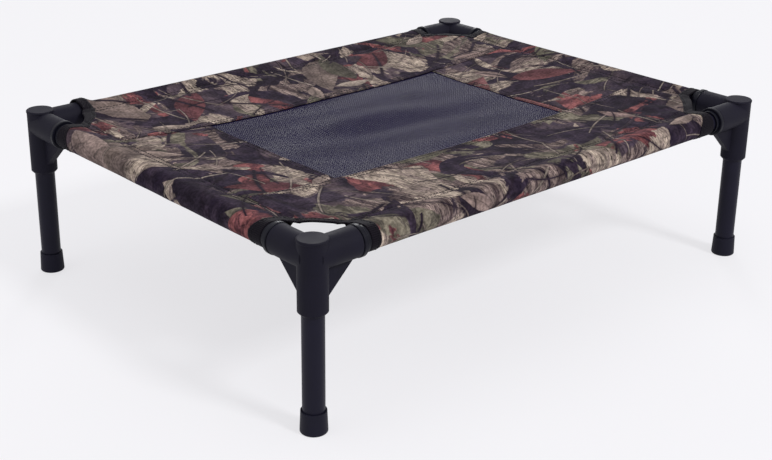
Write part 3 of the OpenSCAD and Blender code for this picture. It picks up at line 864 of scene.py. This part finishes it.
def mesh_wave(x, y):
    """Slow waves of the mesh: two crossed sine waves that fade out as (1 - a^2)(1 - b^2) towards its edges,
    where a runs from -1 to 1 along the window and b across it."""
    along = 2 * (x - window_lo.x) / (window_hi.x - window_lo.x) - 1
    across = y / seam_y
    room = np.clip(1 - along * along, 0, None) * np.clip(1 - across * across, 0, None)
    return room * sum(rise * np.sin(a * along + b * across + start) for rise, a, b, start in MESH_WAVES)


window_cut = np.array([window_hi.x - window_lo.x, 2 * seam_y]) + 2 * MESH_TUCK
columns, rows = (window_cut / MESH_PITCH).round().astype(int)
x, y = np.meshgrid(np.linspace(window_lo.x - MESH_TUCK, window_hi.x + MESH_TUCK, columns + 1),
                   np.linspace(-seam_y - MESH_TUCK, seam_y + MESH_TUCK, rows + 1), indexing="ij")
crossings = np.stack([x, y], axis=-1)
corners = cell_corners(crossings)
middle = corners.mean(axis=2, keepdims=True)
rims = middle + (corners - middle) * HOLE_SHARE
outer = cell_corners(np.arange(x.size).reshape(x.shape))
inner = x.size + np.arange(outer.size).reshape(outer.shape)
quads = np.stack([outer, np.roll(outer, -1, -1), np.roll(inner, -1, -1), inner], axis=-1).reshape(-1, 4)
rise = np.repeat([YARN_RISE, -YARN_RISE], [x.size, inner.size])
x, y = np.concatenate([crossings.reshape(-1, 2), rims.reshape(-1, 2)]).T
points = np.stack([x, y, cover_z(x, y) - MESH_LOW + mesh_wave(x, y) + rise], axis=-1)
mesh_net = make_piece("mesh_window_net", points, quads, points[:, :2], coated_mesh)
thicken(mesh_net, MESH_T)
print("mesh window:", columns * rows, "holes,", len(quads), "quads")

# %% [markdown]
# ## Edge tape at the corners
# Black tape is folded over the cut edge at each corner: round one sleeve's end, along the slanted cut
# and round the other sleeve's end. A curve with a bevel could follow that path, but it would twist at
# the turns. So the tape is a U-shaped profile carried along the path, and each of its points keeps its
# own inset from the edge and its own lift off the middle of the cloth.

# %% Tape finish
# Woven tape is matt, and its cross ribs are about 1 mm wide. They are drawn at 1.8 mm so that they show.
RIB_MM = 1.8

woven_tape, tree = new_finish("woven_polyester_tape_black")
phase = add(tree, "VectorMath", {0: cloth_place(tree), "Scale": FULL_TURN / RIB_MM}, operation="SCALE")
wave = add(tree, "VectorMath", {0: phase}, operation="SINE")
ribs = add(tree, "SeparateXYZ", {0: wave}).outputs["X"]
# Painted light and shade: the rib crests are coloured lighter and the grooves darker, following the bump.
tone = add(tree, "MapRange", {0: ribs, 1: -1.0, 2: 1.0})
tone = add(tree, "Mix", {0: tone, 6: linear("#0d0b11"), 7: linear("#18141b")}, data_type="RGBA")
bump = add(tree, "Bump", {"Height": ribs, "Strength": 0.5, "Distance": 0.15 * MM})
shader = add(tree, "BsdfPrincipled", {
    "Base Color": tone, "Normal": bump, "Roughness": 0.62, "IOR": 1.5, "Specular IOR Level": 0.04,
    "Sheen Weight": 0.02, "Sheen Roughness": 0.4})
add(tree, "OutputMaterial", {"Surface": shader})
print(woven_tape.name, "has", len(tree.nodes), "nodes")

# %% Profile of the tape
TAPE_W, TAPE_T, TAPE_OFF, TAPE_NOSE = 10 * MM, 0.5 * MM, 0.72 * MM, 0.5 * MM
TAPE_LEG = np.array([10, 9.4, 8.2, 7.8, 7.4, 7.0, 6.6, 5, 3.4, 2, 1, 0.2]) * MM
TAPE_STITCH, TAPE_DENT, TAPE_DENT_WIDTH = 7.4 * MM, 0.2 * MM, 0.7 * MM
TAPE_CURL, TAPE_CURL_WIDTH = 0.12 * MM, 1.2 * MM
NOSE_TURN = np.linspace(np.pi / 2, -np.pi / 2, 7)[1:-1]


def tape_profile():
    """Profile (inset, lift) of the folded tape: the upper leg from its border to the nose, a half ellipse,
    and back along the lower leg. The legs are dented by the stitches and curl in at the border."""
    dent = TAPE_DENT * bell(TAPE_LEG - TAPE_STITCH, TAPE_DENT_WIDTH)
    curl = TAPE_CURL * bell(TAPE_LEG - TAPE_W, TAPE_CURL_WIDTH)
    leg_lift = TAPE_OFF - dent - curl
    inset = np.concatenate([TAPE_LEG, -TAPE_NOSE * np.cos(NOSE_TURN), TAPE_LEG[::-1]])
    lift = np.concatenate([leg_lift, TAPE_OFF * np.sin(NOSE_TURN), -leg_lift[::-1]])
    return inset, lift


print("tape profile:", len(tape_profile()[0]), "points")

# %% Path of the tape
TAPE_TURN = np.linspace(0, 1, 22)
TAPE_RUN = np.linspace(0, 1, 9)[1:]
TAPE_CUT = np.linspace(0, 1, 34)[1:]
TAPE_SAG_SHARE = 0.1
FLARE_START, FLARE_FULL = 0.02, 0.4
SLIM_EASE = 0.2


def tape_line(inset, lift, side_x, side_y, flare, narrow):
    """Path of one profile point: round the sleeve's end on the long rail, along the cut, round the other
    sleeve's end. In plan the path turns at (far, near) and (near, far), with far = sleeve_end + inset and
    near = cut depth + 0.41 inset. Below the top of a sleeve the inset grows by that sleeve's flare, because
    the tape was not folded evenly, and along the cut it shrinks by the share narrow."""
    last = leave_turn(sheet_z - sag * TAPE_SAG_SHARE - HEM_DROP - rail_z)
    turn = last + (np.pi / 2 - last) * TAPE_TURN[:, None]
    far = sleeve_end + inset
    near = CUT_DEPTH + inset * (np.sqrt(2) - 1)
    inside = np.maximum(inset, 0)
    wider = inside * ease(FLARE_START, FLARE_FULL, 1 - TAPE_TURN)[:, None]

    def wrap(place, ride, share):
        """The path round one sleeve: along the rail, inwards and height."""
        radius = sleeve_r + lift + ride + end_puff(place - sleeve_end) * np.clip(np.sin(turn), 0, None)
        height = rail_z + radius * np.sin(turn)
        return np.stack([place + wider * share, radius * np.cos(turn), height], axis=-1)

    def place_at(points):
        """Plan distances from the corner turned into x and y."""
        return side_x * (half_x - points[..., 0]), side_y * (half_y - points[..., 1])

    moved = far - side_x * slide(side_x * (half_x - far), side_y * half_y)
    first = wrap(moved, ride_up(side_x * (half_x - moved), side_y), flare[0])
    second = wrap(far, 0, flare[1])[:-1][::-1][..., [1, 0, 2]]
    run = np.stack([far + 0 * TAPE_RUN[:, None], near * TAPE_RUN[:, None]], axis=-1)
    across = (far - near) * TAPE_CUT[:, None]
    cut = np.stack([far - across, near + across], axis=-1)
    slim = narrow * ease(0, SLIM_EASE, TAPE_CUT) * (1 - ease(1 - SLIM_EASE, 1, TAPE_CUT))
    cut = cut - (slim[:, None] * inside / np.sqrt(2))[..., None]
    end = np.stack([0 * far, far], axis=-1)[None]
    plan = np.concatenate([run, cut, run[:-1][::-1, :, ::-1], end], axis=0)
    x, y = place_at(plan)
    x = x + slide(x, y)
    top = np.stack([x, y, cover_z(x, y) + lift], axis=-1)
    sleeves = [np.stack([*place_at(sleeve), sleeve[..., 2]], axis=-1) for sleeve in (first, second)]
    return np.concatenate([sleeves[0], top, sleeves[1]], axis=0)


# Side along x and y, how much wider the tape gets on the long and the short rail, and how much slimmer
# it gets on the cut
CORNERS = {
    "front_left": (-1, -1, (0.0, 0.7), 0.42),
    "front_right": (1, -1, (1.2, 0.6), 0.0),
    "rear_right": (1, 1, (0.4, 0.4), 0.3),
    "rear_left": (-1, 1, (0.0, 0.8), 0.1),
}
print("points along a tape:", len(tape_line(*tape_profile(), *CORNERS["front_left"])))

# %% Tapes
def corner_tape(name, *corner):
    """The folded tape of one corner, as a grid of path by profile."""
    profile = tape_profile()
    grid = tape_line(*profile, *corner)
    along = run_length(grid[:, 0])
    across = run_length(np.stack(profile, axis=-1))
    flat = np.stack(np.meshgrid(along, across, indexing="ij"), axis=-1)
    cells, points = grid_cells(grid), grid.reshape(-1, 3)
    piece = make_piece(name, points, cells, flat.reshape(-1, 2), woven_tape)
    thicken(piece, TAPE_T)
    print(name, "length", round(along[-1] / MM), "mm, width", round(across[-1] / MM, 1), "mm")
    return piece, (float(across[-1]), float(along[-1])), sheet_area(points, cells)


tapes = {name: corner_tape("edge_tape_" + name, *corner) for name, corner in CORNERS.items()}

# %% [markdown]
# ## Stitching
# Rows of black thread hold the hems, the folded borders and the tape. A line of bump would look
# drawn on, so every stitch is a small bead of thread whose ends dive into the cloth. One stitch is
# made once, as a few rings, and numpy lays it along each row. The thread is drawn 0.84 mm thick,
# about twice the real one, so that it shows.

# %% Thread finish
# Spun polyester thread is almost black, with a slight real shine from its sheen and gloss. A noise drawn at
# 0.8 mm, as coarse as the thread itself, follows its twisted yarn and mixes in a lighter tone, which is
# painted sheen.
TWIST_MM = 0.8

thread, tree = new_finish("spun_polyester_thread_black")
place = add(tree, "TexCoord").outputs["Object"]
# Painted sheen: this noise lightens the thread's colour in spots.
twist_sheen = add(tree, "TexNoise", {"Vector": place, "Scale": 1 / (TWIST_MM * MM), "Detail": 1.0})
tone = add(tree, "Mix", {0: twist_sheen, 6: linear("#0f0e12"), 7: linear("#1e1b20")}, data_type="RGBA")
shader = add(tree, "BsdfPrincipled", {
    "Base Color": tone, "Roughness": 0.5, "IOR": 1.5, "Specular IOR Level": 0.06, "Sheen Weight": 0.02})
add(tree, "OutputMaterial", {"Surface": shader})
print(thread.name, "has", len(tree.nodes), "nodes")

# %% Rows of stitches
STITCH_PITCH, STITCH_L, THREAD_R = 3.8 * MM, 3.2 * MM, 0.42 * MM
RING_PLACE = np.array([-1, -0.8, -0.35, 0.35, 0.8, 1])
RING_SIZE = np.array([0.35, 0.85, 1, 1, 0.85, 0.35])
RING_RISE = np.array([-1.0, -0.1, 0.35, 0.35, -0.1, -1.0])
RING_TURN = np.arange(6) * np.pi / 3


def stitch_row(path, normals):
    """Points of the stitches along a path: stitch, ring, side. A ring's middle follows the path, raised by
    RING_RISE, and its sides stand round the path's direction at the thread's radius times RING_SIZE."""
    reach = run_length(path)
    middle = np.arange(STITCH_PITCH / 2, reach[-1], STITCH_PITCH)
    where = middle[:, None] + RING_PLACE * STITCH_L / 2
    spine = np.stack([np.interp(where, reach, path[:, axis]) for axis in range(3)], axis=-1)
    out = np.stack([np.interp(where, reach, normals[:, axis]) for axis in range(3)], axis=-1)
    ahead = spine[:, -1:] - spine[:, :1]
    ahead = ahead / np.linalg.norm(ahead, axis=-1, keepdims=True)
    side = np.cross(ahead, out)
    size = THREAD_R * RING_SIZE[:, None, None]
    ring = out[:, :, None] * np.sin(RING_TURN)[:, None] + side[:, :, None] * np.cos(RING_TURN)[:, None]
    return spine[:, :, None] + out[:, :, None] * THREAD_R * RING_RISE[:, None, None] + ring * size


def stitching(name, rows):
    """One object with all stitches of some rows. Six rings of six sides, and a flat cap at either end."""
    beads = np.concatenate([stitch_row(*row) for row in rows])
    rings, sides = len(RING_PLACE), len(RING_TURN)
    index = np.arange(rings * sides).reshape(rings, sides)
    beside = np.roll(index, -1, 1)
    wall = np.stack([index[:-1], beside[:-1], beside[1:], index[1:]], axis=-1).reshape(-1, 4)
    first, last = index[0], index[-1]
    caps = np.stack([first[[3, 2, 1, 0]], first[[0, 5, 4, 3]], last[[0, 1, 2, 3]], last[[3, 4, 5, 0]]])
    bead = np.concatenate([wall, caps])[:, ::-1]
    faces = (np.arange(len(beads))[:, None, None] * rings * sides + bead).reshape(-1, 4)
    points = beads.reshape(-1, 3)
    print(name, len(beads), "stitches")
    return make_piece(name, points, faces, points[:, :2], thread)


print("one stitch:", len(RING_PLACE) * len(RING_TURN), "points,", round(STITCH_L / MM, 1), "mm long")

# %% Stitching of the pieces
ROW_MARGIN, OUTWARDS = 1 * MM, 1 * MM
# Points along a row, how far it sways across, and the length of that sway divided by 2 pi
STRIP_HEM, STRIP_BORDER = (300, 0.25 * MM, 23 * MM), (300, 0.2 * MM, 29 * MM)
END_HEM, END_BORDER = (240, 0.25 * MM, 21 * MM), (160, 0.2 * MM, 27 * MM)


def guided_by_hand(reach, count, sway, wave):
    """Places along a row from -reach to reach, and how far it sways there, sway * sin(place / wave)."""
    place = np.linspace(-1, 1, count) * reach
    return place, sway * np.sin(place / wave)


def flat_row(x, y, z):
    """A row on the upper face of the cloth at height z, with its normals straight up."""
    path = np.stack(np.broadcast_arrays(x, y, z + CLOTH_T / 2), axis=-1)
    return path, np.broadcast_to([0.0, 0.0, 1.0], path.shape)


def strip_stitching(name, side):
    """Both hem rows and both border rows of a long strip."""
    rows = []
    for depth in hem_in - STITCH_LINES:
        x, sway = guided_by_hand(half_x - edge_at(depth) - TAPE_W - ROW_MARGIN, *STRIP_HEM)
        y = side * (half_y - depth) + sway
        x = x + slide(x, y)
        rows.append(flat_row(x, y, strip_z(x, y)))
    for past in FOLD_STITCHES:
        x, sway = guided_by_hand(half_x - hem_in - ROW_MARGIN, *STRIP_BORDER)
        y = side * (seam_y + past) + sway
        rows.append(flat_row(x, y, strip_z(x, y)))
    return stitching(name, rows)


def end_stitching(name, side, window_edge):
    """Both hem rows and both border rows of an end piece."""
    rows = []
    for depth in hem_in - STITCH_LINES:
        y, sway = guided_by_hand(half_y - edge_at(depth) - TAPE_W - ROW_MARGIN, *END_HEM)
        x = side * (half_x - depth) + sway
        rows.append(flat_row(x, y, cover_z(x, y)))
    for past in FOLD_STITCHES:
        y, sway = guided_by_hand(seam_y - ROW_MARGIN, *END_BORDER)
        x = window_edge + side * past + sway
        rows.append(flat_row(x, y, cover_z(x, y) + fold_lift(past, PANEL_LIFT)))
    return stitching(name, rows)


def tape_stitching(name, *corner):
    """One row along the upper leg of a corner's tape. A second path further out gives its normals."""
    lift = np.array([TAPE_OFF - TAPE_DENT + TAPE_T / 2, TAPE_OFF + OUTWARDS])
    path, outside = np.moveaxis(tape_line(np.full(2, TAPE_STITCH), lift, *corner), 1, 0)
    out = outside - path
    return stitching(name, [(path, out / np.linalg.norm(out, axis=-1, keepdims=True))])


strip_front_thread = strip_stitching("stitching_strip_front", -1)
strip_rear_thread = strip_stitching("stitching_strip_rear", 1)
end_left_thread = end_stitching("stitching_end_left", -1, window_lo.x)
end_right_thread = end_stitching("stitching_end_right", 1, window_hi.x)
tape_threads = {name: tape_stitching("stitching_tape_" + name, *corner) for name, corner in CORNERS.items()}

# %% [markdown]
# ## Hide the replaced solids
# Each new piece stands for a solid of the imported model. The solid is hidden here and stays in the physics
# model. The smaller of a sheet's area and its cut width times length is worked out, and nothing keeps it.

# %% Hide the replaced solids
def declare(made, node):
    """Hides the node that a sheet replaces. The smaller of the sheet's area and its cut width times length
    is worked out and not kept.
    """
    piece, cut, area = made
    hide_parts(node)
    min(area, cut[0] * cut[1])


declare(strip_front, "cover_strip_front")
declare(strip_rear, "cover_strip_rear")
declare(end_left, "cover_end_left")
declare(end_right, "cover_end_right")
window = (mesh_net, tuple(window_cut.tolist()), float(window_cut.prod()))
declare(window, "mesh_window")
for corner, tape in tapes.items():
    declare(tape, "binding_" + corner)
print("tapes:", len(tapes))
